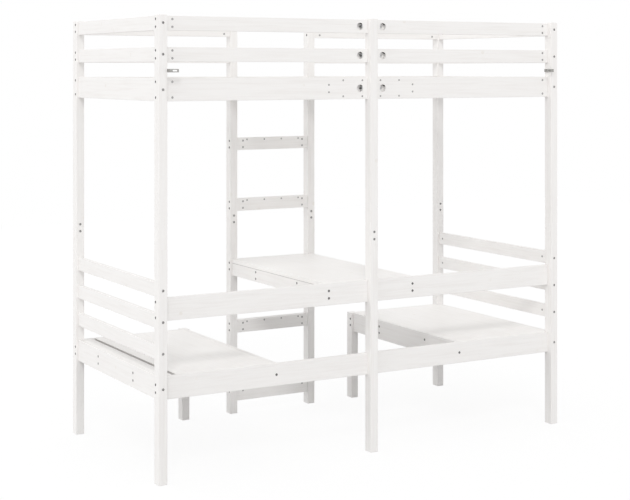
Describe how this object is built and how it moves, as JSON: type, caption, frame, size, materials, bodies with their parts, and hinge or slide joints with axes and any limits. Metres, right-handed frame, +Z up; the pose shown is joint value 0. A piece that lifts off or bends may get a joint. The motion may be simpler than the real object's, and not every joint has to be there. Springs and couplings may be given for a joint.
{
  "type": "bunk bed with ladder",
  "caption": "High bunk bed of painted timber with guard boards, a straight ladder, bench seats and a table under the bunk, and wall brackets.",
  "frame": {"origin": "on the floor, in the middle of the overall box", "axes": "+X along the length, to the right as seen from the wall side; +Y from the wall side to the ladder side; +Z up"},
  "size_m": [2.06, 1.006, 1.908],
  "materials": {
    "painted_post": "satin white paint on solid pine",
    "painted_board": "satin white paint on solid pine boards",
    "painted_panel": "satin white paint on glued pine panel",
    "base_timber": "thin white paint on planed pine",
    "bare_timber": "bare beech",
    "zinc_steel": "bright zinc plate",
    "bracket_steel": "zinc plated strip"
  },
  "bodies": {
    "root": {"bunk_cross_beams": "base_timber", "bunk_ledgers": "base_timber", "bunk_slats": "base_timber", "bunk_splice_board": "base_timber", "centre_rods": "zinc_steel", "end_bunk_rail_left": "painted_board", "end_bunk_rail_right": "painted_board", "end_guards_left": "painted_board", "end_guards_right": "painted_board", "end_low_rails_left": "painted_board", "end_low_rails_right": "painted_board", "end_seat_rail_left": "painted_board", "end_seat_rail_right": "painted_board", "half_moon_plates": "zinc_steel", "ladder_post_left_lower": "painted_post", "ladder_post_left_upper": "painted_post", "ladder_post_right_lower": "painted_post", "ladder_post_right_upper": "painted_post", "ladder_rungs": "painted_board", "ladder_step": "painted_board", "ladder_treads": "painted_board", "post_tenons": "bare_timber", "rod_nuts": "zinc_steel", "room_bunk_rail_left": "painted_board", "room_bunk_rail_middle": "painted_board", "room_bunk_rail_right": "painted_board", "room_guards_left": "painted_board", "room_guards_right": "painted_board", "room_post_left_lower": "painted_post", "room_post_left_upper": "painted_post", "room_post_right_lower": "painted_post", "room_post_right_upper": "painted_post", "room_seat_rail_left": "painted_board", "room_seat_rail_right": "painted_board", "seat_beams": "painted_board", "seat_legs": "painted_post", "seat_panel_left": "painted_panel", "seat_panel_right": "painted_panel", "seat_side_rail_left": "painted_board", "seat_side_rail_right": "painted_board", "seat_strip_left": "painted_panel", "table_beams": "painted_board", "table_side_rails": "painted_board", "table_top": "painted_panel", "wall_bracket_left": "bracket_steel", "wall_bracket_right": "bracket_steel", "wall_bunk_rail_left": "painted_board", "wall_bunk_rail_right": "painted_board", "wall_guards_left": "painted_board", "wall_guards_right": "painted_board", "wall_post_centre_lower": "painted_post", "wall_post_centre_upper": "painted_post", "wall_post_left_lower": "painted_post", "wall_post_left_upper": "painted_post", "wall_post_right_lower": "painted_post", "wall_post_right_upper": "painted_post", "wall_seat_rail_left": "painted_board", "wall_seat_rail_right": "painted_board", "wall_table_rail_left": "painted_board", "wall_table_rail_right": "painted_board"}
  },
  "joints": []
}
